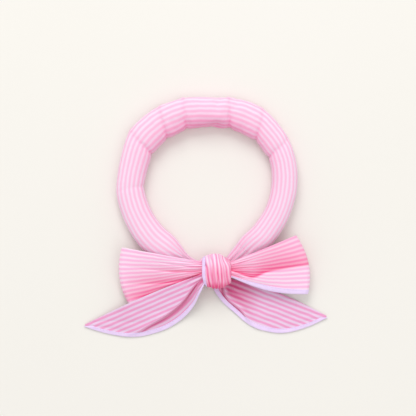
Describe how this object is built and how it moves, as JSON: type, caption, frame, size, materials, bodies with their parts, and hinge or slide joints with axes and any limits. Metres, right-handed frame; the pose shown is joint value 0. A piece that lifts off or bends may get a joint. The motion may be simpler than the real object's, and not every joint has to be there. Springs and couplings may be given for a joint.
{
  "type": "tie headband",
  "caption": "Padded striped cotton headband closed by a tied bow with two loops and two pointed, bound tails, lying flat.",
  "frame": {"origin": "on the rest plane, under the centre of the knot, on the flat underside of the half knot", "axes": "+Z away from the table, out of the front of the bow; +Y from the knot across the head opening to the crown of the band; +X to the right as seen from the front"},
  "size_m": [0.3178, 0.3146, 0.0319],
  "materials": {
    "striped_cotton": "woven cotton, fine lengthwise stripes of pink and pale lilac",
    "bow_cotton": "the same woven striped cotton, stronger in the folds of the bow",
    "lilac_binding": "pale lilac cotton binding, stitched",
    "wadding": "polyester wadding, hidden"
  },
  "bodies": {
    "root": {"cover_sleeve_1": "striped_cotton", "cover_sleeve_2": "striped_cotton", "cover_sleeve_3": "striped_cotton", "cover_sleeve_4": "striped_cotton", "cover_sleeve_5": "striped_cotton", "cover_sleeve_6": "striped_cotton", "cover_sleeve_7": "striped_cotton", "cover_sleeve_8": "striped_cotton", "cover_sleeve_9": "striped_cotton", "cover_sleeve_10": "striped_cotton", "cover_sleeve_11": "striped_cotton", "cover_sleeve_12": "striped_cotton", "cover_sleeve_13": "striped_cotton", "cover_sleeve_14": "striped_cotton", "cover_sleeve_15": "striped_cotton", "band_padding": "wadding", "cover_seam": "striped_cotton", "end_seam_left": "striped_cotton", "end_seam_right": "striped_cotton", "tie_neck_left": "striped_cotton", "tie_neck_right": "striped_cotton", "half_knot": "bow_cotton", "bow_waist": "bow_cotton", "knot_wrap": "bow_cotton", "knot_binding": "lilac_binding"},
    "left_loop": {"loop_left": "bow_cotton", "loop_binding_left": "lilac_binding"},
    "left_tail": {"tail_left": "bow_cotton", "tail_binding_left": "lilac_binding"},
    "right_loop": {"loop_right": "bow_cotton", "loop_binding_right": "lilac_binding"},
    "right_tail": {"tail_right": "bow_cotton", "tail_binding_right": "lilac_binding"}
  },
  "joints": [
    {"name": "left_loop_lift", "type": "hinge", "parent": "root", "child": "left_loop", "pos_m": [-0.0193, 0.002, 0.0253], "axis": [0, 1, 0], "range_deg": [0, 35]},
    {"name": "left_tail_lift", "type": "hinge", "parent": "left_loop", "child": "left_tail", "pos_m": [-0.0193, -0.014, 0.0253], "axis": [0, 1, 0], "range_deg": [0, 45]},
    {"name": "right_loop_lift", "type": "hinge", "parent": "root", "child": "right_loop", "pos_m": [0.0193, 0.002, 0.0253], "axis": [0, -1, 0], "range_deg": [0, 40]},
    {"name": "right_tail_swing", "type": "hinge", "parent": "root", "child": "right_tail", "pos_m": [0.007, -0.015, 0.003], "axis": [0, 0, 1], "range_deg": [-12, 12]}
  ]
}
